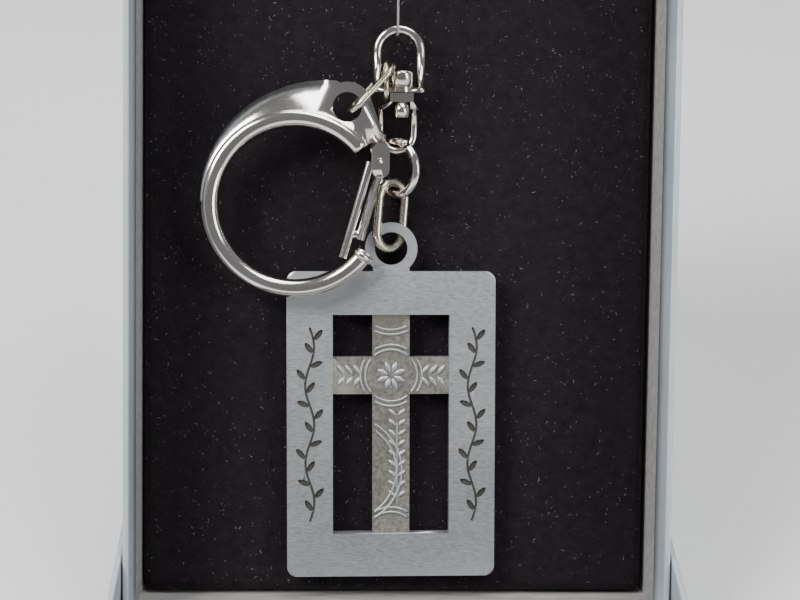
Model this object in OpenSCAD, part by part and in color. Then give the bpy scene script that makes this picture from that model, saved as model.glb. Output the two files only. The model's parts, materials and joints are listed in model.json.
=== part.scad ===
// A two-piece paper-covered gift box, open. The base leans back in its own lid,
// and a key ring hangs on a wire hook in front of the flocked pad.

/* [Box] */
// Outside width of the base
base_w = 88.9; // [86:0.1:112]
// Outside length of the base
base_l = 138.1; // [134:0.1:170]
// Outside depth of the base
base_d = 24; // [21:0.5:32]
// Depth of the open space in front of the pad
recess_d = 15; // [13:0.5:16]
// Outside depth of the lid
lid_d = 22; // [17:0.5:27]
// Slack between the base and the lid on each side
lid_slack = 0.3; // [0.2:0.05:0.8]
// Thickness of the box board
board_t = 0.6; // [0.5:0.05:1.2]
// Thickness of the covering paper
paper_t = 0.15; // [0.1:0.01:0.25]
// Thickness of the tape that holds each corner of the board
stay_t = 0.1; // [0.05:0.01:0.2]
// How far the tape reaches round each corner
stay_reach = 12; // [6:1:20]
// How far the covering paper turns in over the rim
turn_in = 8; // [4:0.5:12]
// Angle that the base leans back from upright
lean = 31; // [15:1:38]
// Distance from the middle of the lid forward to the foot of the base
foot_forward = 25; // [15:1:35]

/* [Pad] */
// Slack between the pad and the base on each side
pad_slack = 0.4; // [0.3:0.05:1]
// Sideways shift of the pad in the base
pad_shift = 0.2; // [0:0.05:0.25]
// Thickness of the card behind the foam
card_t = 1; // [0.5:0.1:2]
// Thickness of the flocked cover
flock_t = 0.5; // [0.3:0.05:0.8]
// Corner radius of the pad
pad_corner = 1.5; // [0.5:0.1:4]

/* [Hook] */
// Wire diameter of the hook
hook_wire_d = 0.5; // [0.4:0.05:0.6]
// Distance from the top of the base down to the hook
hook_drop = 41.2; // [38:0.1:60]
// Sideways place of the hook from the middle of the pad
hook_x = -0.8; // [-2:0.1:2]
// Height of the exposed upright part of the hook
hook_rise = 19; // [12:0.5:28]
// Bend radius of the hook
hook_bend = 0.8; // [0.6:0.1:1.5]

/* [Swivel] */
// Distance of the shackle's middle plane from the pad
chain_out = 4.6; // [4.4:0.1:5.5]
// Wire diameter of the shackle
shackle_wire_d = 1.6; // [1.3:0.05:1.8]
// Outside width of the shackle
shackle_w = 8.8; // [8:0.1:9.6]
// Outside height of the shackle
shackle_h = 11.2; // [10:0.1:13]
// Thickness of the shackle's crossbar
crossbar_t = 0.8; // [0.6:0.05:1]
// Depth of the shackle's crossbar
crossbar_depth = 1.7; // [1.4:0.1:2]
// Diameter of the crossbar's round boss
boss_d = 3.6; // [3:0.1:4.4]
// Pin diameter of the swivel rivet
pin_d = 1.9; // [1.4:0.05:2.2]
// Head diameter of the swivel rivet
rivet_head_d = 3.9; // [3.2:0.1:4.2]
// Head height of the swivel rivet
rivet_head_h = 2.8; // [1.5:0.1:3.2]
// Diameter of the rivet's lower collar
rivet_tail_d = 2.7; // [2.3:0.1:3]
// Height of the rivet's lower collar
rivet_tail_h = 2.5; // [1.5:0.1:3]
// Radial clearance of a pin in its hole
pin_play = 0.05; // [0.02:0.01:0.09]
// Wire diameter of the swivel's lower loop
loop_wire_d = 1.2; // [1:0.05:1.4]
// Outside width of the lower loop
loop_w = 6.8; // [6:0.1:7]
// Outside height of the lower loop, from the top of its yoke
loop_h = 10.1; // [9.5:0.1:10.5]

/* [Links] */
// Wire diameter of the long link at the snap ring
long_wire_d = 0.95; // [0.7:0.05:1.05]
// Wire diameter of the small link round the crossbar
small_wire_d = 0.95; // [0.7:0.05:1.05]
// Wire diameter of the open jump ring
jump_wire_d = 1.46; // [1.2:0.02:1.6]
// Outside diameter of the open jump ring
jump_d = 10.46; // [10:0.02:11]
// Outside length of the long link
long_l = 11.4; // [11:0.1:12]
// Outside width of the long link
long_w = 5.5; // [5.2:0.1:5.8]
// Outside length of the small link
small_l = 7.3; // [7.1:0.1:7.8]
// Outside width of the small link
small_w = 5.6; // [5.3:0.1:5.8]
// Outside length of the twisted link
twisted_l = 12.7; // [12.3:0.1:13.2]
// Outside width of the twisted link
twisted_w = 7.3; // [7:0.1:7.8]
// Wire diameter of the twisted link
twisted_wire_d = 1.55; // [1.2:0.05:1.65]
// Air between two wires that hang on each other
link_air = 0.3; // [0.2:0.05:0.5]
// Air where two pieces cross off their middles
crossing_air = 0.6; // [0.5:0.05:0.8]

/* [Snap ring] */
// Inside diameter of the snap ring
ring_inner_d = 25; // [22:0.1:25.4]
// Thickness of the snap ring's round body
ring_body_d = 3.1; // [2.6:0.1:3.4]
// Distance of the ring's middle plane from the pad
ring_out = 6.4; // [6:0.1:8]
// Thickness of the ring's flat arm
arm_t = 1.9; // [1.5:0.1:2.4]
// Diameter of the eye in the arm
eye_d = 4.8; // [4.2:0.1:5.2]
// Wire diameter of the gate
gate_wire_d = 1.5; // [1.2:0.05:1.6]
// Diameter of the gate's pin
gate_pin_d = 1; // [0.8:0.05:1.2]

/* [Pendant] */
// Width of the pendant's frame
pendant_w = 35.2; // [33:0.1:40]
// Height of the pendant's frame
pendant_h = 51.9; // [44:0.1:54]
// Thickness of the pendant
pendant_t = 2.5; // [1.8:0.1:2.7]
// Corner radius of the pendant's frame
pendant_corner = 1.6; // [0.8:0.1:4]
// Width of the opening in the pendant
window_w = 19.7; // [18:0.1:23]
// Height of the opening in the pendant
window_h = 37.3; // [34:0.1:42]
// Width of the cross bars
bar_w = 6.3; // [4:0.1:8]
// Distance that the cross lies behind the frame's face
bar_recess = 0.7; // [0.3:0.1:1]
// Distance from the top of the opening down to the crosswise bar
bar_drop = 7.2; // [5:0.1:12]
// Outside diameter of the hanging loop
bail_d = 8.8; // [8:0.1:9.4]
// Hole diameter of the hanging loop
bail_hole_d = 5.5; // [5.3:0.1:6]
// Thickness of the hanging loop
bail_t = 1.3; // [1.1:0.1:1.5]
// Turn of the pendant from upright
pendant_tilt = 0.6; // [0:0.1:2]

/* [Hidden] */
$fn = 64;
eps = 0.01;
gap = 0.05;                                   // gap between faces that only rest together

floor_t = paper_t + stay_t + board_t;         // wall below the turned-in paper
wall_t = floor_t + paper_t;                   // wall at the rim
inner_w = base_w - 2 * wall_t;
inner_l = base_l - 2 * wall_t;
lid_w = base_w + 2 * (lid_slack + wall_t);
lid_l = base_l + 2 * (lid_slack + wall_t);

// The base's own frame has its origin in the middle of the inner bottom edge, at the pad's face.
// The foot is the lowest corner of the base once it leans.
back_y = base_d - recess_d;
foot_y = back_y * cos(lean) - wall_t * sin(lean);
foot_z = -back_y * sin(lean) - wall_t * cos(lean);
set_y = -foot_forward - foot_y;
set_z = floor_t + gap - foot_z;

pad_w = inner_w - 2 * pad_slack;
pad_l = inner_l - 2 * pad_slack;
pad_d = base_d - recess_d - floor_t - gap;
foam_t = pad_d - card_t - flock_t;
hook_hole_d = hook_wire_d + 2 * gap;
hang_v = inner_l - hook_drop;                 // height of the hook's seat above the inner bottom

// Swivel. Places on the key ring are measured from the hook's seat.
shackle_r = (shackle_w - shackle_wire_d) / 2;
shackle_x = 0.3;
hook_air = 0.1;
shackle_top = hook_wire_d / 2 + hook_air + shackle_wire_d;
arch_y = shackle_top - shackle_w / 2;
crossbar_y = shackle_top - shackle_h + crossbar_t / 2;
rivet_x = 0.8;
yoke_air = 0.1;
yoke_top = crossbar_y - crossbar_t / 2 - yoke_air;
yoke_t = 1.5;
yoke_w = 3.9;
yoke_depth = 2.4;
shoulder_drop = 1.2;                          // how far the loop's shoulders drop below its yoke
loop_x = 0.1;
loop_floor = yoke_top - loop_h + loop_wire_d; // the jump ring hangs from here

// The snap ring lies with its eye here. Places on it are measured from the middle of its hole.
eye_place = [-8.2, -11.9];
eye_out = 5.5;                                // from the round body's inside to the middle of the eye
eye_angle = 62;
eye_rim = 1.7;
pivot_out = 3.2;                              // from the round body's inside to the middle of the pivot
pivot_angle = 27;
ring_r = (ring_inner_d + ring_body_d) / 2;
ring_start = 40;
ring_end = 326;
eye_at = (ring_inner_d / 2 + eye_out) * [cos(eye_angle), sin(eye_angle)];
pivot_at = (ring_inner_d / 2 + pivot_out) * [cos(pivot_angle), sin(pivot_angle)];
ring_at = eye_place - eye_at;
arm_reach = 5.6;                              // how far the arm flares beyond the round body
arm_flare = 1.9;
part_air = 0.1;                               // air between pieces that lie one in front of the other
slab_t = 1.1;
slab_back = chain_out + loop_wire_d / 2 + part_air - ring_out;
slab_front = slab_back + slab_t;
gate_z = slab_front + part_air + gate_wire_d / 2;
cap_t = 1.2;
cap_r = 1.5;
cap_half = 1.4;
neck_left = 1.6;                              // the neck between the arm and the knuckle
neck_right = 0.9;
neck_h = 3;
pin_proud = 0.2;                              // how far the gate pin stands out at each end
collar_d = ring_body_d + 0.5;                 // the collar at the ring's open end
collar_h = 1.1;
cap_back = slab_front + part_air + gate_wire_d / 3;

// The small link stands edge on, in the room between the shackle's left leg and the rivet's head,
// and its lower end bears under the crossbar.
small_pitch = 20;
small_reach = small_l / 2 - small_wire_d;
leg_face = shackle_x - shackle_r + shackle_wire_d / 2;
head_face = rivet_x - rivet_head_d / 2;
small_at = [(leg_face + head_face) / 2,
            crossbar_y - crossbar_t / 2 - crossing_air + small_reach * cos(small_pitch),
            chain_out - small_reach * sin(small_pitch)];

// The long link starts in the eye and leans up round the shackle's leg, through the small link.
long_turn = 80;
long_pitch = 8;
long_swing = 42;
long_half = (long_l - long_wire_d) / 2;
long_end = [eye_place[0] + 0.6, eye_place[1] - 0.6, ring_out];
long_at = long_end + long_half * [sin(long_swing) * cos(long_pitch),
                                  cos(long_swing) * cos(long_pitch), -sin(long_pitch)];

// The jump ring hangs in the loop, clear of the pad, and the twisted link hangs in the jump ring.
jump_turn = 46;
jump_pitch = 8;
jump_cut = 8;                                 // angle of the jump ring's open cut
cut_at = 62;
jump_r = (jump_d - jump_wire_d) / 2;
jump_half = jump_r * cos(jump_pitch) - jump_wire_d / 2;
jump_floor = loop_floor + link_air - 2 * jump_half;
jump_at = [loop_x, loop_floor + link_air - jump_half,
           jump_r * sin(jump_turn) + jump_wire_d / 2 + 2.5 * part_air];
twisted_turn = 40;
twisted_lean = 4;
twisted_reach = twisted_l / 2 - twisted_wire_d;
twisted_x = -0.7;

// The twisted link's sides pass before and behind the pendant's bail, and its lower end lies level
// with the middle of the bail's hole, because it is turned only part of the way across.
pendant_back = 1.0;                           // gap between the pad and the pendant
frame_drop = 29.8;                            // from the bail's middle to the frame's middle
bail_side = 0.5;                              // how far the bail lies to the right of the link's lower end
bail_back = pendant_back + pendant_t - bail_t;
twisted_at = [twisted_x, jump_floor + crossing_air - twisted_reach, bail_back + bail_t / 2];
twisted_half = (twisted_l - twisted_wire_d) / 2;
bail_at = [twisted_x - twisted_half * sin(twisted_lean) + bail_side,
           twisted_at[1] - twisted_half * cos(twisted_lean)];

// Frames
module in_base() translate([0, set_y, set_z]) rotate([-lean, 0, 0]) children();
module on_pad() in_base() rotate([90, 0, 0]) children();
module hung() on_pad() translate([hook_x, hang_v, 0]) children();
module hung_at(x, y, z) hung() translate([x, y, z]) children();
module upright() rotate([-90, 0, 0]) children();
// A piece with its long axis upright is turned about it, pitched out and swung sideways.
module posed(at, turn, pitch, swing)
    hung() translate(at) rotate([0, 0, swing]) rotate([pitch, 0, 0]) rotate([0, turn, 0]) children();

// Shapes
module block(w, l, h) translate([-w / 2, -l / 2, 0]) cube([w, l, h]);

module rounded_rect(w, h, r) {
    square([w - 2 * r, h], center = true);
    square([w, h - 2 * r], center = true);
    for (x = [-1, 1], y = [-1, 1])
        translate([x * (w / 2 - r), y * (h / 2 - r)]) circle(r);
}

module rounded_block(w, l, h, r) linear_extrude(h) rounded_rect(w, l, r);

module rod(from, to, d) {
    run = to - from;
    length = norm(run);
    turn = [0, acos(run[2] / length), atan2(run[1], run[0])];
    translate(from) rotate(turn) cylinder(d = d, h = length);
}

module oval_link(length, width, wire) {
    r = (width - wire) / 2;
    straight = (length - width) / 2;
    for (end = [0, 1]) rotate([0, 0, 180 * end]) {
        translate([0, straight, 0]) rotate_extrude(angle = 180) translate([r, 0]) circle(d = wire);
        translate([r, -straight, 0]) upright() cylinder(d = wire, h = 2 * straight);
    }
}

// A box of board, open upwards, with its outside bottom at z = paper_t + stay_t.
module board_tray(w, l, d) {
    skin = paper_t + stay_t;
    outer_w = w - 2 * skin;
    outer_l = l - 2 * skin;
    difference() {
        translate([0, 0, skin]) block(outer_w, outer_l, d - paper_t - skin);
        translate([0, 0, floor_t]) block(outer_w - 2 * board_t, outer_l - 2 * board_t, d);
    }
}

// Four strips of tape, one round each upright corner of the board.
module corner_stays(w, l, d) {
    outer_w = w - 2 * paper_t;
    outer_l = l - 2 * paper_t;
    height = d - paper_t - floor_t;
    for (x = [-1, 1], y = [-1, 1])
        translate([x * outer_w / 2, y * outer_l / 2, floor_t]) {
            translate([x > 0 ? -stay_reach : 0, y > 0 ? -stay_t : 0, 0])
                cube([stay_reach, stay_t, height]);
            translate([x > 0 ? -stay_t : 0, y > 0 ? -stay_reach : 0, 0])
                cube([stay_t, stay_reach, height]);
        }
}

// The covering paper: bottom, outside, rim and the part turned in.
module paper_wrap(w, l, d) {
    skin = paper_t + stay_t;
    difference() {
        block(w, l, d);
        translate([0, 0, paper_t]) block(w - 2 * paper_t, l - 2 * paper_t, d - 2 * paper_t);
        translate([0, 0, d / 2]) block(w - 2 * wall_t, l - 2 * wall_t, d);
    }
    difference() {
        translate([0, 0, d - turn_in]) block(w - 2 * floor_t, l - 2 * floor_t, turn_in - paper_t / 2);
        translate([0, 0, d - turn_in - eps]) block(w - 2 * wall_t, l - 2 * wall_t, turn_in);
    }
}

module in_base_box() on_pad() translate([0, inner_l / 2, -back_y]) children();
module in_pad() on_pad() translate([-pad_shift, inner_l / 2, -pad_d]) children();

module hook_holes(depth)
    for (y = [0, hook_rise])
        translate([hook_x + pad_shift, hang_v - inner_l / 2 + y, -eps])
            cylinder(d = hook_hole_d, h = depth + 2 * eps);

// Lid
module lid_board() color("gray") board_tray(lid_w, lid_l, lid_d);
module lid_stays() color("tan") corner_stays(lid_w, lid_l, lid_d);
module lid_wrap() color("lightsteelblue") paper_wrap(lid_w, lid_l, lid_d);

// Base
module base_board() color("gray") in_base_box() board_tray(base_w, base_l, base_d);
module base_stays() color("tan") in_base_box() corner_stays(base_w, base_l, base_d);
module base_wrap() color("lightsteelblue") in_base_box() paper_wrap(base_w, base_l, base_d);

// Pad
module pad_card() color("dimgray") in_pad() difference() {
    rounded_block(pad_w - 2 * flock_t, pad_l - 2 * flock_t, card_t, pad_corner);
    hook_holes(card_t);
}

module pad_foam() color("black") in_pad() translate([0, 0, card_t]) difference() {
    rounded_block(pad_w - 2 * flock_t, pad_l - 2 * flock_t, foam_t, pad_corner);
    hook_holes(foam_t);
}

module pad_flock() color([0.1, 0.09, 0.1]) in_pad() difference() {
    rounded_block(pad_w, pad_l, pad_d, pad_corner + flock_t);
    translate([0, 0, -eps])
        rounded_block(pad_w - 2 * flock_t, pad_l - 2 * flock_t, card_t + foam_t + eps, pad_corner);
    translate([0, 0, card_t]) hook_holes(foam_t + flock_t);
}

module hook_wire() color("slategray") hung() {
    front = chain_out + shackle_wire_d / 2 + hook_air + gap + hook_wire_d / 2;
    for (y = [0, hook_rise])
        translate([0, y, -pad_d + 0.3]) cylinder(d = hook_wire_d, h = pad_d - 0.3 + front - hook_bend);
    translate([0, hook_bend, front]) upright() cylinder(d = hook_wire_d, h = hook_rise - 2 * hook_bend);
    translate([0, hook_bend, front - hook_bend]) rotate([0, 90, 0]) rotate([0, 0, 180])
        rotate_extrude(angle = 90) translate([hook_bend, 0]) circle(d = hook_wire_d);
    translate([0, hook_rise - hook_bend, front - hook_bend]) rotate([0, 90, 0]) rotate([0, 0, 90])
        rotate_extrude(angle = 90) translate([hook_bend, 0]) circle(d = hook_wire_d);
}

// Swivel
module shackle() color("silver") hung_at(shackle_x, 0, chain_out) difference() {
    union() {
        translate([0, arch_y, 0])
            rotate_extrude(angle = 180) translate([shackle_r, 0]) circle(d = shackle_wire_d);
        for (side = [-1, 1])
            translate([side * shackle_r, crossbar_y, 0]) upright()
                cylinder(d = shackle_wire_d, h = arch_y - crossbar_y);
        translate([0, crossbar_y - crossbar_t / 2, 0]) upright() linear_extrude(crossbar_t) {
            square([2 * shackle_r, crossbar_depth], center = true);
            for (side = [-1, 1]) translate([side * shackle_r, 0]) circle(d = crossbar_depth);
            translate([rivet_x - shackle_x, 0]) circle(d = boss_d);
        }
    }
    translate([rivet_x - shackle_x, crossbar_y - crossbar_t, 0]) upright()
        cylinder(d = pin_d + 2 * pin_play, h = 2 * crossbar_t);
}

module swivel_rivet() color("silver") hung_at(rivet_x, 0, chain_out) {
    head_y = crossbar_y + crossbar_t / 2 + gap;
    tail_y = yoke_top - yoke_t - gap;
    round_r = rivet_head_h / 4;
    translate([0, head_y, 0]) upright() rotate_extrude() {
        square([rivet_head_d / 2, rivet_head_h - round_r]);
        square([rivet_head_d / 2 - round_r, rivet_head_h]);
        translate([rivet_head_d / 2 - round_r, rivet_head_h - round_r]) circle(round_r);
    }
    translate([0, tail_y - eps, 0]) upright() cylinder(d = pin_d, h = head_y - tail_y + 2 * eps);
    translate([0, tail_y - rivet_tail_h, 0]) upright() cylinder(d = rivet_tail_d, h = rivet_tail_h);
}

// A flat yoke whose shoulders slope out to the two sides of the loop.
module yoke_outline(knee_y) {
    half = loop_w / 2 + gap;
    strand = loop_wire_d + 2 * gap;
    throat = rivet_tail_d / 2 + part_air;
    for (side = [-1, 1]) polygon([
        [rivet_x, yoke_top],
        [rivet_x + side * yoke_w / 2, yoke_top],
        [rivet_x + side * yoke_w / 2, yoke_top - yoke_t + part_air],
        [loop_x + side * half, knee_y],
        [loop_x + side * (half - strand), knee_y],
        [rivet_x + side * throat, yoke_top - yoke_t],
        [rivet_x, yoke_top - yoke_t]]);
}

module swivel_loop() color("silver") hung_at(0, 0, chain_out) {
    r = (loop_w - loop_wire_d) / 2;
    bottom_y = yoke_top - loop_h + loop_wire_d / 2 + r;
    knee_y = yoke_top - yoke_t - shoulder_drop;
    translate([loop_x, bottom_y, 0]) rotate([0, 0, 180])
        rotate_extrude(angle = 180) translate([r, 0]) circle(d = loop_wire_d);
    for (side = [-1, 1])
        translate([loop_x + side * r, bottom_y, 0]) upright()
            cylinder(d = loop_wire_d, h = knee_y + loop_wire_d / 4 - bottom_y);
    difference() {
        union() {
            translate([0, 0, -loop_wire_d / 2 - gap])
                linear_extrude(loop_wire_d + 2 * gap) yoke_outline(knee_y);
            translate([rivet_x - yoke_w / 2, yoke_top - yoke_t, -yoke_depth / 2])
                cube([yoke_w, yoke_t, yoke_depth]);
        }
        translate([rivet_x, yoke_top - 2 * yoke_t, 0]) upright()
            cylinder(d = pin_d + 2 * pin_play, h = 3 * yoke_t);
    }
}

// Links
module small_link() color("silver") posed(small_at, 90, -small_pitch, 0)
    oval_link(small_l, small_w, small_wire_d);

module long_link() color("silver") posed(long_at, -long_turn, -long_pitch, -long_swing)
    oval_link(long_l, long_w, long_wire_d);

module jump_ring() color("silver") posed(jump_at, -jump_turn, jump_pitch, 0)
    rotate([0, 0, cut_at]) rotate_extrude(angle = 360 - jump_cut)
        translate([jump_r, 0]) circle(d = jump_wire_d);

module twisted_link() color("silver") posed(twisted_at, twisted_turn, 0, -twisted_lean)
    oval_link(twisted_l, twisted_w, twisted_wire_d);

// Snap ring
module on_ring() hung() translate([ring_at[0], ring_at[1], ring_out]) children();

function arm_edge(a) = ring_r + ring_body_d / 2 + arm_reach * pow((180 - a) / (180 - 72), arm_flare);
function polar(r, a) = r * [cos(a), sin(a)];

module arm_outline() {
    polygon(concat(
        [for (a = [180 : -6 : 72]) polar(arm_edge(a), a)],
        [eye_at + polar(eye_d / 2 + eye_rim, 20),
         pivot_at + [neck_right, neck_h],
         pivot_at + [-neck_left, neck_h]],
        [for (a = [ring_start : 7 : 180]) polar(ring_r, a)]));
    translate(eye_at) circle(d = eye_d + 2 * eye_rim);
}

module knuckle_outline(r) {
    square([2 * r, 2 * cap_half], center = true);
    for (side = [-1, 1]) translate([0, side * cap_half]) circle(r);
}

module snap_ring() color("silver") on_ring() difference() {
    union() {
        rotate([0, 0, ring_start]) rotate_extrude(angle = ring_end - ring_start)
            translate([ring_r, 0]) circle(d = ring_body_d);
        translate(polar(ring_r, ring_end)) rotate([90, 0, ring_end]) translate([0, 0, link_air])
            cylinder(d = collar_d, h = collar_h);
        translate([0, 0, -arm_t / 2]) linear_extrude(arm_t) arm_outline();
        translate([0, 0, slab_back]) linear_extrude(slab_t) {
            translate(pivot_at) knuckle_outline(cap_r - 0.1);
            translate(pivot_at + [-neck_left, cap_half]) square([neck_left + neck_right, neck_h]);
        }
    }
    translate([eye_at[0], eye_at[1], -ring_body_d]) cylinder(d = eye_d, h = 2 * ring_body_d);
    translate([pivot_at[0], pivot_at[1], -ring_body_d])
        cylinder(d = gate_pin_d + 2 * pin_play, h = 2 * ring_body_d);
}

module gate() color("silver") on_ring() translate([pivot_at[0], pivot_at[1], 0]) {
    long_top = [-1.7, -0.2, gate_z];
    long_end = [-6.1, -16, gate_z];
    short_top = [-0.3, -2.2, gate_z];
    short_end = [-3.3, -13, gate_z];
    bridge = [-5.1, -12.3, gate_z];
    for (run = [[long_top, long_end], [short_top, short_end]]) rod(run[0], run[1], gate_wire_d);
    rod(bridge, short_end + [0.4, 1.2, 0], gate_wire_d * 0.7);
    difference() {
        translate([0, 0, cap_back]) linear_extrude(cap_t) knuckle_outline(cap_r);
        translate([0, 0, cap_back - eps]) cylinder(d = gate_pin_d, h = cap_t + 2 * eps);
    }
}

module gate_pin() color("silver") on_ring() translate([pivot_at[0], pivot_at[1], slab_back - pin_proud])
    cylinder(d = gate_pin_d, h = cap_back + cap_t - slab_back + 2 * pin_proud);

// Pendant
module pendant() color("darkgray")
    hung_at(bail_at[0], bail_at[1], pendant_back) rotate([0, 0, pendant_tilt]) {
    frame_y = -frame_drop;
    window_top = frame_y + window_h / 2;
    difference() {
        linear_extrude(pendant_t) translate([0, frame_y]) difference() {
            rounded_rect(pendant_w, pendant_h, pendant_corner);
            square([window_w, window_h], center = true);
        }
    }
    linear_extrude(pendant_t - bar_recess) {
        translate([0, frame_y]) square([bar_w, window_h + 1], center = true);
        translate([0, window_top - bar_drop - bar_w / 2]) square([window_w + 1, bar_w], center = true);
    }
    translate([0, 0, pendant_t - bail_t]) linear_extrude(bail_t) difference() {
        union() {
            circle(d = bail_d);
            translate([0, frame_y + pendant_h / 2]) square([bail_d * 0.7, 2], center = true);
        }
        circle(d = bail_hole_d);
    }
}

lid_board();
lid_stays();
lid_wrap();
base_board();
base_stays();
base_wrap();
pad_card();
pad_foam();
pad_flock();
hook_wire();
shackle();
swivel_rivet();
swivel_loop();
small_link();
long_link();
jump_ring();
twisted_link();
snap_ring();
gate();
gate_pin();
pendant();
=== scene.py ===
"""Looks for an open gift box that leans in its own lid, with a key ring on a wire hook.

Lengths are in metres. Pieces on the pad are built in the pad's own directions, which the joints
give: u to the right, v up the pad and w out of its face, from the middle of its lower edge.
"""

import json
import math

import bmesh
import bpy
from mathutils import Matrix, Vector, noise


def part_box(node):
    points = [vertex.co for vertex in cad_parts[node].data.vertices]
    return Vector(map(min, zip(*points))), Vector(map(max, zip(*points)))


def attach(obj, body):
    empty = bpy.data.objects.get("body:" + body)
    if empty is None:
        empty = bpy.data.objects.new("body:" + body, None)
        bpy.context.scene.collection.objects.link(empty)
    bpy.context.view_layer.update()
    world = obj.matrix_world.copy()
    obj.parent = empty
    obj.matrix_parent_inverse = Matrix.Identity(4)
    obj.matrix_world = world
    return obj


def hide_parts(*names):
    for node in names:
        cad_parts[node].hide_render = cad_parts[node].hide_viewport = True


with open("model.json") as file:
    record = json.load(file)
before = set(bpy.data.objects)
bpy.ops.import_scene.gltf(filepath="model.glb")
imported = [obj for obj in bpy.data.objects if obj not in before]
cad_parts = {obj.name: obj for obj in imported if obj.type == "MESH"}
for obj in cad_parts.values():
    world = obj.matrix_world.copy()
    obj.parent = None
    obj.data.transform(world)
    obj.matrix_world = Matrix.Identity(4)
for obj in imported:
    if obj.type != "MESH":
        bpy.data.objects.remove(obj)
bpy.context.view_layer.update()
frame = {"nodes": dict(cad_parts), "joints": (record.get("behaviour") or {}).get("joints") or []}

MM = 0.001
JOIN = 0.0005 * MM
AXES = {joint["name"]: Vector(joint["axis"]) for joint in frame["joints"]}
RIGHT = Vector((1, 0, 0))
UP = AXES["base_lift"]
OUT = AXES["pad_lift"]


def world_points(node):
    return [vertex.co.copy() for vertex in frame["nodes"][node].data.vertices]


PAD_POINTS = world_points("pad_flock")
ORIGIN = UP * min(UP.dot(p) for p in PAD_POINTS) + OUT * max(OUT.dot(p) for p in PAD_POINTS)
TO_WORLD = Matrix.Translation(ORIGIN) @ Matrix((RIGHT, UP, OUT)).transposed().to_4x4()
TO_PAD = TO_WORLD.inverted()


def span(node):
    """Lowest and highest corner of a node in the pad's directions."""
    points = [TO_PAD @ p for p in world_points(node)]
    low = Vector(min(p[k] for p in points) for k in range(3))
    high = Vector(max(p[k] for p in points) for k in range(3))
    return low, high


# ---------------------------------------------------------------- meshes

def piece(name, mesh, body, material, replaces=(), place=None):
    """Links a finished mesh, with its place in its vertices, and makes it ride on its body."""
    if place is not None:
        mesh.transform(place)
    mesh.name = name
    obj = bpy.data.objects.new(name, mesh)
    bpy.context.scene.collection.objects.link(obj)
    if material is not None:
        mesh.materials.clear()
        mesh.materials.append(material)
    if replaces:
        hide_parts(*replaces)
    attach(obj, body)
    return obj


def mesh_from(bm, name, smooth_angle=35):
    bmesh.ops.recalc_face_normals(bm, faces=bm.faces)
    mesh = bpy.data.meshes.new(name)
    bm.to_mesh(mesh)
    bm.free()
    for polygon in mesh.polygons:
        polygon.use_smooth = True
    mesh.set_sharp_from_angle(angle=math.radians(smooth_angle))
    return mesh


def finished(mesh, modifiers):
    """The mesh with these modifiers applied. Each is (type, {setting: value})."""
    holder = bpy.data.objects.new("being_finished", mesh)
    bpy.context.scene.collection.objects.link(holder)
    for kind, settings in modifiers:
        modifier = holder.modifiers.new(kind.lower(), kind)
        for key, value in settings.items():
            setattr(modifier, key, value)
    shape = holder.evaluated_get(bpy.context.evaluated_depsgraph_get())
    result = bpy.data.meshes.new_from_object(shape)
    bpy.data.objects.remove(holder)
    return result


def merged_copy(node):
    """A copy of a CAD node's mesh with its loose triangles joined."""
    bm = bmesh.new()
    bm.from_mesh(frame["nodes"][node].data)
    bmesh.ops.remove_doubles(bm, verts=bm.verts, dist=JOIN)
    return bm


def tube(bm, path, radius, sides=10, closed=False):
    """A round tube along a path, with flat capped ends unless it is closed. radius may be a list."""
    count = len(path)
    radii = radius if isinstance(radius, (list, tuple)) else [radius] * count
    rings = []
    side = None
    for i, point in enumerate(path):
        ahead = path[(i + 1) % count] if closed or i < count - 1 else point
        behind = path[i - 1] if closed or i > 0 else point
        along = (ahead - behind).normalized()
        if side is None:
            side = along.orthogonal().normalized()
        side = (side - along * side.dot(along)).normalized()
        other = along.cross(side)
        rings.append([bm.verts.new(point + (side * math.cos(a) + other * math.sin(a)) * radii[i])
                      for a in (2 * math.pi * k / sides for k in range(sides))])
    pairs = list(zip(rings, rings[1:])) + ([(rings[-1], rings[0])] if closed else [])
    for one, two in pairs:
        for k in range(sides):
            bm.faces.new((one[k], one[(k + 1) % sides], two[(k + 1) % sides], two[k]))
    if not closed:
        bm.faces.new(rings[0])
        bm.faces.new(rings[-1])


def rounded_ring(bm, low, high, inset, height, corner, corner_steps=5, side_steps=24):
    """One closed row of points round a rectangle with rounded corners."""
    x0, y0, x1, y1 = low[0] + inset, low[1] + inset, high[0] - inset, high[1] - inset
    centres = [(x1 - corner, y1 - corner, 0), (x0 + corner, y1 - corner, 90),
               (x0 + corner, y0 + corner, 180), (x1 - corner, y0 + corner, 270)]
    outline = []
    for i, (cx, cy, start) in enumerate(centres):
        for k in range(corner_steps + 1):
            a = math.radians(start + 90 * k / corner_steps)
            outline.append(Vector((cx + corner * math.cos(a), cy + corner * math.sin(a), height)))
        nx, ny, turn = centres[(i + 1) % 4]
        a = math.radians(turn)
        target = Vector((nx + corner * math.cos(a), ny + corner * math.sin(a), height))
        begin = outline[-1].copy()
        outline += [begin.lerp(target, k / side_steps) for k in range(1, side_steps)]
    return [bm.verts.new(p) for p in outline]


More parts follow.
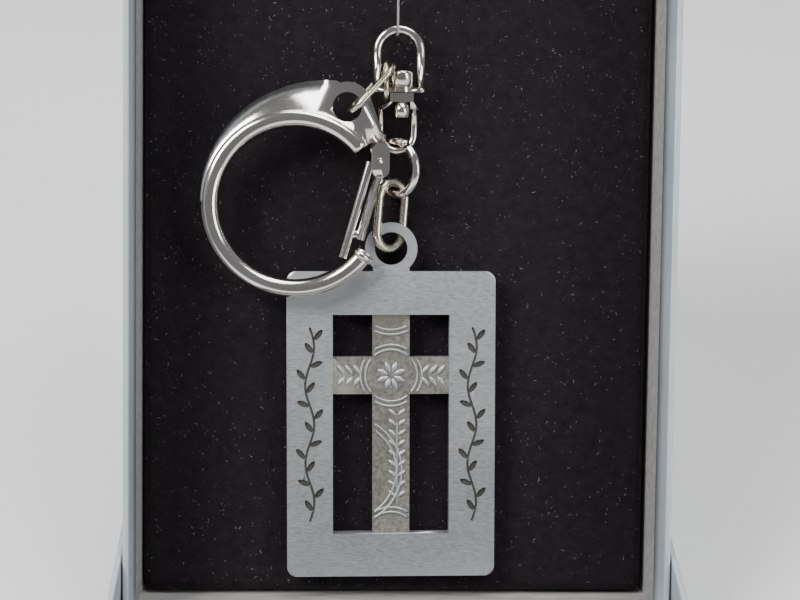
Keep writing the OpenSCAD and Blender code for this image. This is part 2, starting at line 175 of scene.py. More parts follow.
def paper_box(name, low, high):
    """The covering paper of a box that opens towards high[2]: outside, rim and turned-in strip."""
    wall = 1.0 * MM
    paper = 0.12 * MM
    fold = 0.32 * MM
    corner = 0.75 * MM
    turn_in = 8 * MM
    top = high[2]
    stations = [(fold, low[2], corner)]
    for k in range(1, 5):
        a = math.radians(90 * k / 4)
        stations.append((fold * (1 - math.sin(a)), low[2] + fold * (1 - math.cos(a)), corner))
    steps = 6
    for k in range(1, steps + 1):
        stations.append((0, low[2] + fold + (top - low[2] - 2 * fold) * k / steps, corner))
    for k in range(1, 5):
        a = math.radians(90 * k / 4)
        stations.append((fold * (1 - math.cos(a)), top - fold * (1 - math.sin(a)), corner))
    for k in range(5):
        a = math.radians(90 * k / 4)
        inner = wall - fold * (1 - math.sin(a))
        stations.append((inner, top - fold * (1 - math.cos(a)), 0.3 * MM))
    stations.append((wall, top - turn_in / 2, 0.25 * MM))
    stations.append((wall, top - turn_in, 0.25 * MM))
    bm = bmesh.new()
    rows = [rounded_ring(bm, low, high, *station) for station in stations]
    for one, two in zip(rows, rows[1:]):
        for k in range(len(one)):
            m = (k + 1) % len(one)
            bm.faces.new((one[k], one[m], two[m], two[k]))
    bm.faces.new(rows[0][::-1])
    # board and glue leave the paper very slightly uneven, most of all along the rim
    for vertex in bm.verts:
        push = noise.noise(vertex.co * 160) * 0.05 * MM
        if vertex.co.z > low[2] + 2 * MM:
            vertex.co.z += push if vertex.co.z > top - 1 * MM else 0
    mesh = mesh_from(bm, name, 60)
    return finished(mesh, [("SOLIDIFY", {"thickness": paper, "offset": -1.0})])


def flocked_pad(low, high):
    """A foam pad under flocked cloth: soft rounded edges, a low crown and a faintly uneven face."""
    cell = 0.9 * MM
    edge = 1.3 * MM
    corner = 2.2 * MM
    width, length, depth = high - low
    columns, rows = round(width / cell), round(length / cell)
    mid = (low + high) / 2
    bm = bmesh.new()
    grid = []
    for j in range(rows + 1):
        line = []
        for i in range(columns + 1):
            x = (i / columns - 0.5) * width
            y = (j / rows - 0.5) * length
            over = Vector((max(abs(x) - (width / 2 - corner), 0), max(abs(y) - (length / 2 - corner), 0)))
            if over.length > corner:
                over *= corner / over.length
                x = math.copysign(width / 2 - corner + over.x, x)
                y = math.copysign(length / 2 - corner + over.y, y)
            if over.x > 0 and over.y > 0:
                inside = corner - over.length
            else:
                inside = min(width / 2 - abs(x), length / 2 - abs(y))
            fall = 0 if inside >= edge else edge - math.sqrt(max(edge ** 2 - (edge - inside) ** 2, 0))
            wave = noise.noise(Vector((x, y, 0)) * 90) * 0.07 + noise.noise(Vector((x, y, 1)) * 700) * 0.05
            worn = 0.25 * max(0, 1 - inside / (3 * MM)) * noise.noise(Vector((x, y, 2)) * 260)
            z = high[2] - fall - 0.1 * MM + (wave + worn) * MM * min(1, inside / edge + 0.3)
            line.append(bm.verts.new((mid[0] + x, mid[1] + y, z)))
        grid.append(line)
    for j in range(rows):
        for i in range(columns):
            bm.faces.new((grid[j][i], grid[j][i + 1], grid[j + 1][i + 1], grid[j + 1][i]))
    border = ([grid[0][i] for i in range(columns)] + [grid[j][columns] for j in range(rows)]
              + [grid[rows][i] for i in range(columns, 0, -1)] + [grid[j][0] for j in range(rows, 0, -1)])
    foot = [bm.verts.new((v.co.x, v.co.y, low[2])) for v in border]
    for k in range(len(border)):
        m = (k + 1) % len(border)
        bm.faces.new((border[m], border[k], foot[k], foot[m]))
    bm.faces.new(foot[::-1])
    bmesh.ops.remove_doubles(bm, verts=bm.verts, dist=0.01 * MM)
    return mesh_from(bm, "flocked_pad", 80)


# ---------------------------------------------------------------- shader groups

def shader_group(name, inputs, outputs):
    tree = bpy.data.node_groups.new(name, "ShaderNodeTree")
    for label, value in inputs:
        socket = tree.interface.new_socket(label, in_out="INPUT", socket_type="NodeSocketFloat")
        socket.default_value = value
    for label in outputs:
        tree.interface.new_socket(label, in_out="OUTPUT", socket_type="NodeSocketFloat")
    return tree, tree.nodes.new("NodeGroupInput"), tree.nodes.new("NodeGroupOutput")


def add(tree, kind, **settings):
    node = tree.nodes.new(kind)
    for key, value in settings.items():
        setattr(node, key, value)
    return node


def spread(tree, value, low, high, out_low=0.0, out_high=1.0):
    """Stretches a value from one range to another, and holds it there."""
    node = add(tree, "ShaderNodeMapRange")
    tree.links.new(value, node.inputs["Value"])
    for label, number in (("From Min", low), ("From Max", high), ("To Min", out_low), ("To Max", out_high)):
        if hasattr(number, "is_output"):
            tree.links.new(number, node.inputs[label])
        else:
            node.inputs[label].default_value = number
    return node.outputs["Result"]


def grain_group():
    """Fine grain in every direction: a height and a slow change over the surface."""
    tree, given, out = shader_group("fine_grain", [("Scale", 800.0)], ["Height", "Drift"])
    place = add(tree, "ShaderNodeTexCoord")
    fine = add(tree, "ShaderNodeTexNoise")
    fine.inputs["Detail"].default_value = 5
    slow = add(tree, "ShaderNodeTexNoise")
    slow.inputs["Scale"].default_value = 60
    for texture in (fine, slow):
        tree.links.new(place.outputs["Object"], texture.inputs["Vector"])
    tree.links.new(given.outputs["Scale"], fine.inputs["Scale"])
    tree.links.new(fine.outputs["Fac"], out.inputs["Height"])
    tree.links.new(spread(tree, slow.outputs["Fac"], 0.3, 0.7), out.inputs["Drift"])
    return tree


def specks_group():
    """Small scattered specks, such as lint or casting pits."""
    tree, given, out = shader_group("specks", [("Scale", 1500.0), ("Size", 0.12)], ["Mask"])
    place = add(tree, "ShaderNodeTexCoord")
    cells = add(tree, "ShaderNodeTexVoronoi")
    tree.links.new(place.outputs["Object"], cells.inputs["Vector"])
    tree.links.new(given.outputs["Scale"], cells.inputs["Scale"])
    thin = add(tree, "ShaderNodeTexNoise")
    tree.links.new(place.outputs["Object"], thin.inputs["Vector"])
    thin.inputs["Scale"].default_value = 420
    near = spread(tree, cells.outputs["Distance"], given.outputs["Size"], 0.0)
    some = spread(tree, thin.outputs["Fac"], 0.5, 0.62)
    both = add(tree, "ShaderNodeMath", operation="MULTIPLY")
    tree.links.new(near, both.inputs[0])
    tree.links.new(some, both.inputs[1])
    tree.links.new(both.outputs[0], out.inputs["Mask"])
    return tree


def brushed_group():
    """Long fine strokes along one direction of the piece, as brushing or polishing leaves."""
    tree, given, out = shader_group("brushed", [("Scale", 900.0), ("Stretch", 12.0)], ["Height"])
    place = add(tree, "ShaderNodeTexCoord")
    along = add(tree, "ShaderNodeMapping")
    tree.links.new(place.outputs["Object"], along.inputs["Vector"])
    across = add(tree, "ShaderNodeCombineXYZ")
    across.inputs["Y"].default_value = 1.0
    across.inputs["Z"].default_value = 1.0
    tree.links.new(given.outputs["Stretch"], across.inputs["X"])
    tree.links.new(across.outputs[0], along.inputs["Scale"])
    strokes = add(tree, "ShaderNodeTexNoise")
    strokes.inputs["Detail"].default_value = 3
    tree.links.new(along.outputs[0], strokes.inputs["Vector"])
    tree.links.new(given.outputs["Scale"], strokes.inputs["Scale"])
    tree.links.new(strokes.outputs["Fac"], out.inputs["Height"])
    return tree


GRAIN = grain_group()
SPECKS = specks_group()
BRUSHED = brushed_group()


# ---------------------------------------------------------------- materials

class Finish:
    """A material being built: its shader, and short ways to feed it."""

    def __init__(self, name, **sockets):
        self.material = bpy.data.materials.new(name)
        self.material.use_nodes = True
        self.tree = self.material.node_tree
        self.shader = self.tree.nodes["Principled BSDF"]
        for label, value in sockets.items():
            self.shader.inputs[label.replace("_", " ")].default_value = value

    def group(self, group, **values):
        node = add(self.tree, "ShaderNodeGroup", node_tree=group)
        for label, value in values.items():
            node.inputs[label].default_value = value
        return node

    def colours(self, mask, low, high):
        """A colour between two, by a mask."""
        mix = add(self.tree, "ShaderNodeMix", data_type="RGBA")
        self.tree.links.new(mask, mix.inputs["Factor"])
        for socket, colour in ((mix.inputs[6], low), (mix.inputs[7], high)):
            if hasattr(colour, "is_output"):
                self.tree.links.new(colour, socket)
            else:
                socket.default_value = (*colour, 1)
        return mix.outputs[2]

    def feed(self, label, output):
        self.tree.links.new(output, self.shader.inputs[label])

    def bump(self, height, depth, distance=0.1 * MM, under=None):
        node = add(self.tree, "ShaderNodeBump")
        node.inputs["Strength"].default_value = depth
        node.inputs["Distance"].default_value = distance
        self.tree.links.new(height, node.inputs["Height"])
        if under is not None:
            self.tree.links.new(under, node.inputs["Normal"])
        return node.outputs["Normal"]


def box_paper():
    """Pale silver-blue paper with a pearly coat, a fine felt grain and faint handling marks."""
    f = Finish("box_paper", Metallic=0.25, Coat_Weight=0.12, Coat_Roughness=0.4)
    grain = f.group(GRAIN, Scale=2200)
    broad = f.group(GRAIN, Scale=300)
    marks = f.group(SPECKS, Scale=500, Size=0.16)
    pale = f.colours(broad.outputs["Drift"], (0.40, 0.46, 0.50), (0.50, 0.55, 0.59))
    f.feed("Base Color", f.colours(marks.outputs["Mask"], pale, (0.66, 0.70, 0.73)))
    f.feed("Roughness", spread(f.tree, grain.outputs["Height"], 0.3, 0.7, 0.42, 0.6))
    f.feed("Normal", f.bump(grain.outputs["Height"], 0.25, 0.05 * MM,
                            f.bump(broad.outputs["Height"], 0.12)))
    return f.material


def box_board():
    """Grey recycled board with short dark and light fibres."""
    f = Finish("box_board", Specular_IOR_Level=0.2)
    fibres = f.group(BRUSHED, Scale=700, Stretch=0.3)
    grain = f.group(GRAIN, Scale=1600)
    f.feed("Base Color", f.colours(fibres.outputs["Height"], (0.16, 0.16, 0.16), (0.42, 0.41, 0.39)))
    f.feed("Roughness", spread(f.tree, grain.outputs["Height"], 0.3, 0.7, 0.82, 0.95))
    f.feed("Normal", f.bump(fibres.outputs["Height"], 0.5))
    return f.material


def corner_tape():
    """Brown gummed paper tape."""
    f = Finish("corner_tape", Specular_IOR_Level=0.25)
    grain = f.group(GRAIN, Scale=1300)
    f.feed("Base Color", f.colours(grain.outputs["Height"], (0.33, 0.21, 0.11), (0.52, 0.37, 0.22)))
    f.feed("Roughness", spread(f.tree, grain.outputs["Height"], 0.3, 0.7, 0.5, 0.75))
    f.feed("Normal", f.bump(grain.outputs["Height"], 0.3))
    return f.material


def card_back():
    """Plain grey card, pressed smooth."""
    f = Finish("pad_card", Specular_IOR_Level=0.2)
    grain = f.group(GRAIN, Scale=900)
    f.feed("Base Color", f.colours(grain.outputs["Drift"], (0.24, 0.23, 0.21), (0.33, 0.31, 0.28)))
    f.feed("Roughness", spread(f.tree, grain.outputs["Height"], 0.3, 0.7, 0.7, 0.9))
    f.feed("Normal", f.bump(grain.outputs["Height"], 0.3))
    return f.material


def open_foam():
    """Black open-cell foam."""
    f = Finish("pad_foam", Specular_IOR_Level=0.15)
    cells = f.group(SPECKS, Scale=1400, Size=0.6)
    f.feed("Base Color", f.colours(cells.outputs["Mask"], (0.012, 0.012, 0.013), (0.05, 0.05, 0.055)))
    f.feed("Roughness", spread(f.tree, cells.outputs["Mask"], 0, 1, 0.8, 0.98))
    f.feed("Normal", f.bump(cells.outputs["Mask"], 0.8))
    return f.material


def flock():
    """Black flock with a purple-brown cast, a soft sheen and a scatter of pale lint."""
    f = Finish("flock", Specular_IOR_Level=0.1, Sheen_Weight=0.1, Sheen_Roughness=0.45,
               Sheen_Tint=(0.75, 0.62, 0.68, 1))
    pile = f.group(GRAIN, Scale=2600)
    tufts = f.group(GRAIN, Scale=620)
    lint = f.group(SPECKS, Scale=1300, Size=0.2)
    base = f.colours(tufts.outputs["Height"], (0.004, 0.003, 0.004), (0.018, 0.014, 0.017))
    f.feed("Base Color", f.colours(lint.outputs["Mask"], base, (0.17, 0.14, 0.15)))
    f.feed("Roughness", spread(f.tree, pile.outputs["Height"], 0.3, 0.7, 0.8, 1.0))
    f.feed("Normal", f.bump(pile.outputs["Height"], 0.9, 0.25 * MM,
                            f.bump(tufts.outputs["Height"], 0.6, 0.3 * MM)))
    return f.material


def loose_fibre(name, low, high):
    """Loose fibres and lint: matt, and never quite one colour."""
    f = Finish(name, Specular_IOR_Level=0.1)
    tone = f.group(GRAIN, Scale=300)
    f.feed("Base Color", f.colours(tone.outputs["Height"], low, high))
    f.feed("Roughness", spread(f.tree, tone.outputs["Height"], 0.3, 0.7, 0.75, 0.95))
    return f.material


def metal(name, low, high, rough, scuff, stretch=9.0, coat=0.0):
    """Worn plated or cast metal: a drifting tone, fine strokes and small pits."""
    f = Finish(name, Metallic=1.0, Coat_Weight=coat, Coat_Roughness=0.08)
    strokes = f.group(BRUSHED, Scale=1500, Stretch=stretch)
    tone = f.group(GRAIN, Scale=500)
    pits = f.group(SPECKS, Scale=1700, Size=0.11)
    drift = f.colours(tone.outputs["Drift"], low, high)
    f.feed("Base Color", f.colours(pits.outputs["Mask"], drift, tuple(c * 0.45 for c in low)))
    f.feed("Roughness", spread(f.tree, strokes.outputs["Height"], 0.3, 0.7, rough * 0.75, rough * 1.3))
    f.feed("Normal", f.bump(strokes.outputs["Height"], scuff, 0.03 * MM))
    return f.material


def pewter():
    """Pale brushed pewter with a satin face and darker patches where it is less rubbed."""
    f = Finish("pewter", Metallic=0.9)
    strokes = f.group(BRUSHED, Scale=4200, Stretch=0.25)
    tone = f.group(GRAIN, Scale=2400)
    pits = f.group(SPECKS, Scale=1400, Size=0.1)
    drift = f.colours(tone.outputs["Drift"], (0.40, 0.42, 0.435), (0.49, 0.51, 0.52))
    f.feed("Base Color", f.colours(pits.outputs["Mask"], drift, (0.24, 0.25, 0.26)))
    f.feed("Roughness", spread(f.tree, strokes.outputs["Height"], 0.3, 0.7, 0.4, 0.56))
    f.feed("Normal", f.bump(strokes.outputs["Height"], 0.16, 0.02 * MM,
                            f.bump(tone.outputs["Height"], 0.1, 0.02 * MM)))
    return f.material


def dark_antique():
    """The dark rough fill that stays in engraved and sunk parts of the casting."""
    f = Finish("dark_antique", Metallic=0.6)
    tone = f.group(GRAIN, Scale=2000)
    f.feed("Base Color", f.colours(tone.outputs["Height"], (0.035, 0.034, 0.032), (0.12, 0.115, 0.105)))
    f.feed("Roughness", spread(f.tree, tone.outputs["Height"], 0.3, 0.7, 0.55, 0.8))
    f.feed("Normal", f.bump(tone.outputs["Height"], 0.5, 0.06 * MM))
    return f.material


def stippled_ground():
    """The brownish stippled ground behind the relief on the cross."""
    f = Finish("stippled_ground", Metallic=0.8)
    tone = f.group(GRAIN, Scale=1500)
    dots = f.group(SPECKS, Scale=1500, Size=0.5)
    f.feed("Base Color", f.colours(tone.outputs["Height"], (0.13, 0.12, 0.105), (0.34, 0.325, 0.295)))
    f.feed("Roughness", spread(f.tree, tone.outputs["Height"], 0.3, 0.7, 0.42, 0.66))
    f.feed("Normal", f.bump(dots.outputs["Mask"], 0.5, 0.08 * MM,
                            f.bump(tone.outputs["Height"], 0.5, 0.08 * MM)))
    return f.material


PAPER = box_paper()
BOARD = box_board()
TAPE = corner_tape()
CARD = card_back()
FOAM = open_foam()
FLOCK = flock()
DARK_FIBRE = loose_fibre("dark_fibre", (0.006, 0.004, 0.006), (0.04, 0.031, 0.037))
PALE_LINT = loose_fibre("pale_lint", (0.22, 0.19, 0.2), (0.5, 0.46, 0.47))
HOOK_STEEL = metal("hook_steel", (0.20, 0.21, 0.22), (0.33, 0.34, 0.36), 0.34, 0.2)
NICKEL = metal("polished_nickel", (0.60, 0.56, 0.51), (0.78, 0.74, 0.70), 0.12, 0.12)
LINK_NICKEL = metal("yellowed_nickel", (0.52, 0.47, 0.34), (0.74, 0.70, 0.58), 0.24, 0.16)
PEWTER = pewter()
ANTIQUE = dark_antique()
GROUND = stippled_ground()


# ---------------------------------------------------------------- box and pad

def restate(node, material):
    """Gives a CAD node that stays in view its finish."""
    mesh = frame["nodes"][node].data
    mesh.materials.clear()
    mesh.materials.append(material)


for board_node in ("lid_board", "base_board"):
    restate(board_node, BOARD)
for tape_node in ("lid_stays", "base_stays"):
    restate(tape_node, TAPE)
restate("pad_card", CARD)
restate("pad_foam", FOAM)

lid_low, lid_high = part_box("lid_wrap")
piece("lid_paper", paper_box("lid_paper", lid_low, lid_high), "lid", PAPER, ["lid_wrap"])
base_low, base_high = span("base_wrap")
piece("base_paper", paper_box("base_paper", base_low, base_high), "base", PAPER,
      ["base_wrap"], TO_WORLD)

pad_low, pad_high = span("pad_flock")
pad = piece("flocked_pad", flocked_pad(pad_low, pad_high), "pad", FLOCK,
            ["pad_flock"], TO_WORLD)


def fibre_mesh(name, length, radius, curl):
    """One fibre lying along x with a slight curl."""
    bm = bmesh.new()
    path = [Vector((length * (t - 0.5), curl * math.sin(math.pi * t), curl * 0.6 * math.sin(2 * math.pi * t)))
            for t in (0, 0.33, 0.67, 1)]
    tube(bm, path, [radius * 0.6, radius, radius, radius * 0.5], sides=3)
    mesh = mesh_from(bm, name, 80)
    obj = bpy.data.objects.new(name, mesh)
    bpy.context.scene.collection.objects.link(obj)
    return obj


def scatter_tree(name):
    """Scatters one object over the upper side of a mesh, turned and sized at random."""
    tree = bpy.data.node_groups.new(name, "GeometryNodeTree")
    face = tree.interface
    face.new_socket("Geometry", in_out="INPUT", socket_type="NodeSocketGeometry")
    for label, kind in (("Fibre", "Object"), ("Density", "Float"), ("Seed", "Int"), ("Lift", "Float"),
                        ("Smallest", "Float"), ("Finish", "Material")):
        face.new_socket(label, in_out="INPUT", socket_type="NodeSocket" + kind)
    face.new_socket("Geometry", in_out="OUTPUT", socket_type="NodeSocketGeometry")
    given, out = tree.nodes.new("NodeGroupInput"), tree.nodes.new("NodeGroupOutput")
    link = tree.links.new
    normal = add(tree, "GeometryNodeInputNormal")
    facing = add(tree, "ShaderNodeVectorMath", operation="DOT_PRODUCT")
    facing.inputs[1].default_value = OUT
    link(normal.outputs[0], facing.inputs[0])
    upper = add(tree, "FunctionNodeCompare", data_type="FLOAT", operation="GREATER_THAN")
    upper.inputs["B"].default_value = 0.6
    link(facing.outputs["Value"], upper.inputs["A"])
    points = add(tree, "GeometryNodeDistributePointsOnFaces")
    link(given.outputs["Geometry"], points.inputs["Mesh"])
    link(given.outputs["Density"], points.inputs["Density"])
    link(given.outputs["Seed"], points.inputs["Seed"])
    link(upper.outputs["Result"], points.inputs["Selection"])
    info = add(tree, "GeometryNodeObjectInfo")
    link(given.outputs["Fibre"], info.inputs["Object"])
    turn = add(tree, "FunctionNodeRandomValue", data_type="FLOAT_VECTOR")
    turn.inputs["Min"].default_value = (-0.5, -0.5, 0)
    turn.inputs["Max"].default_value = (0.5, 0.5, 2 * math.pi)
    size = add(tree, "FunctionNodeRandomValue", data_type="FLOAT")
    link(given.outputs["Smallest"], size.inputs[2])
    size.inputs[3].default_value = 1.0
    for random_node in (turn, size):
        link(given.outputs["Seed"], random_node.inputs["Seed"])
    lay = add(tree, "FunctionNodeRotateRotation", rotation_space="LOCAL")
    link(points.outputs["Rotation"], lay.inputs["Rotation"])
    link(turn.outputs[0], lay.inputs["Rotate By"])
    instances = add(tree, "GeometryNodeInstanceOnPoints")
    link(points.outputs["Points"], instances.inputs["Points"])
    link(info.outputs["Geometry"], instances.inputs["Instance"])
    link(lay.outputs["Rotation"], instances.inputs["Rotation"])
    link(size.outputs[1], instances.inputs["Scale"])
    raised = add(tree, "ShaderNodeVectorMath", operation="SCALE")
    raised.inputs[0].default_value = OUT
    link(given.outputs["Lift"], raised.inputs["Scale"])
    move = add(tree, "GeometryNodeTranslateInstances")
    move.inputs["Local Space"].default_value = False
    link(instances.outputs["Instances"], move.inputs["Instances"])
    link(raised.outputs["Vector"], move.inputs["Translation"])
    solid = add(tree, "GeometryNodeRealizeInstances")
    link(move.outputs["Instances"], solid.inputs["Geometry"])
    finish = add(tree, "GeometryNodeSetMaterial")
    link(solid.outputs["Geometry"], finish.inputs["Geometry"])
    link(given.outputs["Finish"], finish.inputs["Material"])
    link(finish.outputs["Geometry"], out.inputs["Geometry"])
    return tree


def scattered(name, tree, over, values, material):
    """Runs the scatter over a copy of a piece, and keeps its result as a plain mesh."""
    holder = bpy.data.objects.new("being_scattered", over.data)
    bpy.context.scene.collection.objects.link(holder)
    modifier = holder.modifiers.new("scatter", "NODES")
    modifier.node_group = tree
    sockets = {item.name: item.identifier for item in tree.interface.items_tree
               if item.item_type == "SOCKET" and item.in_out == "INPUT"}
    for label, value in {**values, "Finish": material}.items():
        modifier[sockets[label]] = value
    bpy.context.view_layer.update()
    shape = holder.evaluated_get(bpy.context.evaluated_depsgraph_get())
    mesh = bpy.data.meshes.new_from_object(shape)
    bpy.data.objects.remove(holder)
    return piece(name, mesh, "pad", material)


PER_SQUARE_METRE = 1e6
SCATTER = scatter_tree("scattered_fibres")
pile_fibre = fibre_mesh("pile_fibre", 0.55 * MM, 0.022 * MM, 0.06 * MM)
lint_fibre = fibre_mesh("lint_fibre", 0.7 * MM, 0.028 * MM, 0.14 * MM)
scattered("pile_fibres", SCATTER, pad,
          {"Fibre": pile_fibre, "Density": 0.62 * PER_SQUARE_METRE, "Seed": 4, "Lift": 0.03 * MM,
           "Smallest": 0.4}, DARK_FIBRE)
scattered("lint", SCATTER, pad,
          {"Fibre": lint_fibre, "Density": 0.11 * PER_SQUARE_METRE, "Seed": 11, "Lift": 0.04 * MM,
           "Smallest": 0.15}, PALE_LINT)
for fibre in (pile_fibre, lint_fibre):
    bpy.data.objects.remove(fibre)


# ---------------------------------------------------------------- key ring

def wire_copy(node, name, body, material):
    """A CAD wire piece with its faces joined, so that it shades as one smooth surface."""
    return piece(name, mesh_from(merged_copy(node), name, 38), body, material, [node])


for node, name, body, material, slot in (
        ("hook_wire", "hook", "pad", HOOK_STEEL, "hook_wire"),
        ("shackle", "shackle_wire", "shackle", NICKEL, "nickel"),
        ("swivel_rivet", "rivet_barrel", "rivet", NICKEL, "nickel"),
        ("swivel_loop", "loop_and_yoke", "loop", NICKEL, "nickel"),
        ("small_link", "small_wire_link", "small_link", LINK_NICKEL, "link_nickel"),
        ("long_link", "long_wire_link", "long_link", LINK_NICKEL, "link_nickel"),
        ("jump_ring", "open_ring", "jump_ring", NICKEL, "nickel"),
        ("twisted_link", "curb_link", "twisted_link", LINK_NICKEL, "link_nickel"),
        ("snap_ring", "cast_ring", "snap_ring", NICKEL, "nickel"),
        ("gate_pin", "gate_rivet", "snap_ring", NICKEL, "nickel"),
        ("gate", "wire_gate", "gate", NICKEL, "nickel")):
    wire_copy(node, name, body, material)


# ---------------------------------------------------------------- pendant

BAR_WIDTH = 6.3 * MM
BAR_DROP = 7.2 * MM
WINDOW = (19.7 * MM, 37.3 * MM)
FRAME = (35.2 * MM, 51.9 * MM)
TILT = math.radians(0.6)
BAR_RECESS = 0.7 * MM

RELIEF = 0.34 * MM                            # how high the leaves stand from the ground
BAR_MIDDLE = WINDOW[1] / 2 - BAR_DROP - BAR_WIDTH / 2
BAR_FOOT = -WINDOW[1] / 2

pendant_low, pendant_high = span("pendant")
FACE = pendant_high[2]
half_tall = (FRAME[1] * math.cos(TILT) + FRAME[0] * math.sin(TILT)) / 2
centre = Vector(((pendant_low[0] + pendant_high[0]) / 2, pendant_low[1] + half_tall, 0))
ON_PENDANT = TO_WORLD @ Matrix.Translation(centre) @ Matrix.Rotation(TILT, 4, "Z")


def leaf(bm, root, angle, length, width, height, floor):
    """A crowned leaf with a ridge along its middle, standing on floor."""
    along = Vector((math.cos(angle), math.sin(angle), 0))
    across = Vector((-along.y, along.x, 0))
    rows = []
    steps = 7
    for k in range(steps + 1):
        t = k / steps
        half = width / 2 * math.sin(math.pi * (0.06 + 0.88 * t)) ** 0.85
        spine = root + along * length * t
        crown = floor + height * (0.45 + 0.55 * math.sin(math.pi * t))
        rows.append([bm.verts.new((*(spine + across * half * s).xy, z)) for s, z in
                     ((-1, floor), (-0.75, floor + 0.7 * (crown - floor)), (0, crown),
                      (0.75, floor + 0.7 * (crown - floor)), (1, floor))])
    for one, two in zip(rows, rows[1:]):
        for k in range(4):
            bm.faces.new((one[k], two[k], two[k + 1], one[k + 1]))
        bm.faces.new((one[4], two[4], two[0], one[0]))
    bm.faces.new(rows[0])
    bm.faces.new(rows[-1][::-1])


def stem_points(side, count=60):
    """The waving stem of the engraved vine on one side band."""
    middle = side * (WINDOW[0] + FRAME[0]) / 4
    reach = 16.5 * MM
    return [Vector((middle + 0.75 * MM * math.sin(5 * math.pi * t), -reach + 2 * reach * t, 0))
            for t in (k / (count - 1) for k in range(count))]


def vine_cutter():
    """The shape that is cut out of the frame for the two generic vines."""
    bm = bmesh.new()
    depth = 0.32 * MM
    for side in (-1, 1):
        path = stem_points(side)
        tube(bm, [p + Vector((0, 0, FACE)) for p in path], 0.2 * MM, sides=8)
        for k in range(3, len(path) - 3, 4):
            hand = 1 if (k // 4) % 2 else -1
            forward = path[k + 1] - path[k - 1]
            heading = math.atan2(forward.y, forward.x) - hand * math.radians(48)
            leaf(bm, path[k], heading, 2.5 * MM, 1.15 * MM, depth * 2, FACE - depth)
    return mesh_from(bm, "vine_cutter", 60)


def pendant_body():
    """The cast frame with its engraved vines, which hold the dark fill."""
    cutter_mesh = vine_cutter()
    cutter_mesh.transform(ON_PENDANT)
    cutter_mesh.materials.append(ANTIQUE)
    cutter = bpy.data.objects.new("vine_cutter", cutter_mesh)
    bpy.context.scene.collection.objects.link(cutter)
    mesh = mesh_from(merged_copy("pendant"), "pendant_body", 40)
    mesh.materials.clear()
    mesh.materials.append(PEWTER)
    cut = ("BOOLEAN", {"operation": "DIFFERENCE", "object": cutter, "solver": "EXACT",
                       "use_self": True, "material_mode": "TRANSFER"})
    result = finished(mesh, [cut])
    bpy.data.objects.remove(cutter)
    for polygon in result.polygons:
        polygon.use_smooth = True
    result.set_sharp_from_angle(angle=math.radians(30))
    # large flat faces keep their own direction, whatever thin faces lie beside them
    return finished(result, [("WEIGHTED_NORMAL", {"mode": "FACE_AREA", "weight": 100, "keep_sharp": True})])


def in_bar(x, y):
    """Whether a point lies on the cross, a little in from its edges."""
    margin = 0.35 * MM
    upright = abs(x) < BAR_WIDTH / 2 - margin
    crosswise = abs(y - BAR_MIDDLE) < BAR_WIDTH / 2 - margin and abs(x) < WINDOW[0] / 2 - margin
    return upright and abs(y) < WINDOW[1] / 2 - margin or crosswise


def ridge(bm, points, radius, height):
    """Raised lines along the stretches of a path that lie on the cross."""
    run = []
    for point in points + [None]:
        if point is not None and in_bar(point.x, point.y):
            run.append(Vector((point.x, point.y, height)))
            continue
        if len(run) > 2:
            tube(bm, run, radius, sides=8)
        run = []


def circle(middle, radius, count=140):
    """Points round a circle, with the first one again at the end."""
    return [Vector((middle[0] + radius * math.cos(a), middle[1] + radius * math.sin(a), 0))
            for a in (2 * math.pi * k / count for k in range(count + 1))]


def arcs(bm, lift):
    """Pairs of arcs down the upright, and one pair round the crossing."""
    for middle, radii in (((-7.5 * MM, -8 * MM), (8.4, 9.3)), ((0, BAR_FOOT - 1 * MM), (4.6, 5.4)),
                          ((0, BAR_MIDDLE), (4.4, 5.2)), ((0, WINDOW[1] / 2 + 3 * MM), (5.6, 6.4))):
        for radius in radii:
            ridge(bm, circle(middle, radius * MM), 0.2 * MM, lift)


def rosette(bm, root_height, petals=8):
    """A ring of leaves in the crossing."""
    for k in range(petals):
        angle = 2 * math.pi * k / petals + math.pi / petals
        root = Vector((0.55 * MM * math.cos(angle), BAR_MIDDLE + 0.55 * MM * math.sin(angle), 0))
        leaf(bm, root, angle, 1.9 * MM, 0.95 * MM, RELIEF, root_height)


def arm_sprigs(bm, root_height):
    """Pairs of leaves along each arm of the cross."""
    for side in (-1, 1):
        for k in range(3):
            for hand in (-1, 1):
                root = Vector((side * (5.2 + 1.35 * k) * MM, BAR_MIDDLE + hand * 0.25 * MM, 0))
                heading = (0 if side > 0 else math.pi) + side * hand * math.radians(52)
                leaf(bm, root, heading, 1.9 * MM, 0.8 * MM, RELIEF, root_height)


def upright_sprig(bm, root_height, lift):
    """A stem up the lower part of the upright, with pairs of leaves."""
    for k in range(9):
        for hand in (-1, 1):
            y = BAR_FOOT + (6.2 + 1.75 * k) * MM
            if y > BAR_MIDDLE - 6.2 * MM:
                continue
            root = Vector((1.0 * MM + hand * 0.2 * MM, y, 0))
            leaf(bm, root, math.radians(90 - hand * 50), 1.55 * MM, 0.72 * MM, RELIEF, root_height)
    ridge(bm, [Vector((1.0 * MM, BAR_FOOT + t * MM, 0)) for t in range(5, 20)], 0.13 * MM, lift)


def cross_relief():
    """A generic pattern of leaves, arcs and bands on the cross."""
    bm = bmesh.new()
    ground = FACE - BAR_RECESS
    sunk = ground - 0.05 * MM
    lift = ground + 0.05 * MM
    arcs(bm, lift)
    rosette(bm, sunk)
    arm_sprigs(bm, sunk)
    upright_sprig(bm, sunk, lift)
    return mesh_from(bm, "cross_relief", 50)


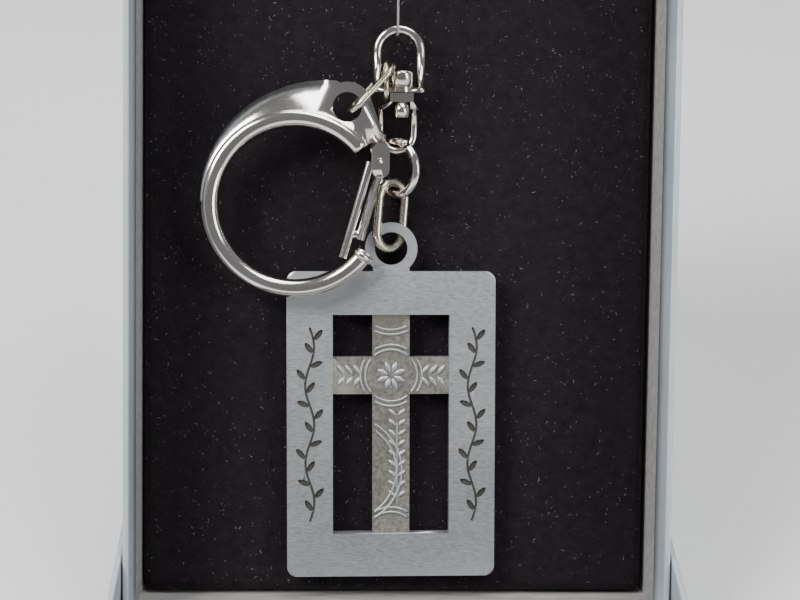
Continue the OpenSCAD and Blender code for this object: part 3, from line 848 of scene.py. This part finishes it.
pendant = piece("pendant_casting", pendant_body(), "pendant", None, ["pendant"])
pendant.data.materials.append(GROUND)
ground_slot = len(pendant.data.materials) - 1
ON_PENDANT_BACK = ON_PENDANT.inverted()
for polygon in pendant.data.polygons:
    spot = ON_PENDANT_BACK @ polygon.center
    if (polygon.normal.dot(OUT) > 0.9 and abs(spot.z - (FACE - BAR_RECESS)) < 0.05 * MM
            and abs(spot.x) < WINDOW[0] / 2 + 1 * MM and abs(spot.y) < WINDOW[1] / 2 + 1 * MM):
        polygon.material_index = ground_slot
piece("cross_relief", cross_relief(), "pendant", PEWTER, place=ON_PENDANT)


# ---------------------------------------------------------------- floor, light and camera

def studio():
    mesh = bpy.data.meshes.new("floor")
    bm = bmesh.new()
    bmesh.ops.create_grid(bm, x_segments=1, y_segments=1, size=3)
    bm.to_mesh(mesh)
    bm.free()
    floor = bpy.data.objects.new("floor", mesh)
    bpy.context.scene.collection.objects.link(floor)
    f = Finish("floor_finish", Roughness=0.7, Base_Color=(0.80, 0.79, 0.78, 1))
    mesh.materials.append(f.material)
    world = bpy.data.worlds.new("studio")
    bpy.context.scene.world = world
    world.use_nodes = True
    world.node_tree.nodes["Background"].inputs["Color"].default_value = (0.82, 0.85, 0.9, 1)
    world.node_tree.nodes["Background"].inputs["Strength"].default_value = 0.26


def soft_light(name, place, aim, size, watts, colour=(1, 1, 1)):
    light = bpy.data.lights.new(name, "AREA")
    light.shape = "RECTANGLE"
    light.size, light.size_y = size
    light.energy = watts
    light.color = colour
    obj = bpy.data.objects.new(name, light)
    bpy.context.scene.collection.objects.link(obj)
    obj.location = place
    obj.rotation_euler = (Vector(aim) - Vector(place)).to_track_quat("-Z", "Y").to_euler()


def camera():
    """Placed in the pad's directions, nearly square to the pad."""
    data = bpy.data.cameras.new("camera")
    data.sensor_width = 36
    data.lens = 64.1
    data.clip_start = 0.01
    obj = bpy.data.objects.new("camera", data)
    bpy.context.scene.collection.objects.link(obj)
    place = TO_WORLD @ Vector((-9.1 * MM, 65.3 * MM, 242.6 * MM))
    turn = TO_WORLD.to_3x3()
    look = turn @ Vector((0.0387, -0.0609, -0.9974))
    top = turn @ Vector((-0.0098, 0.9981, -0.0613))
    right = look.cross(top).normalized()
    top = right.cross(look).normalized()
    obj.matrix_world = Matrix.Translation(place) @ Matrix((right, top, -look)).transposed().to_4x4()
    bpy.context.scene.camera = obj


studio()
MIDDLE = TO_WORLD @ Vector((0, 65 * MM, 0))
soft_light("window", (-0.55, -0.25, 0.75), MIDDLE, (0.35, 0.5), 11, (1, 0.99, 0.97))
soft_light("overhead", (0.15, 0.1, 0.95), MIDDLE, (0.7, 0.4), 7, (0.96, 0.98, 1))
soft_light("right_card", (0.6, -0.45, 0.35), MIDDLE, (0.25, 0.6), 3.2, (1, 0.98, 0.95))
camera()
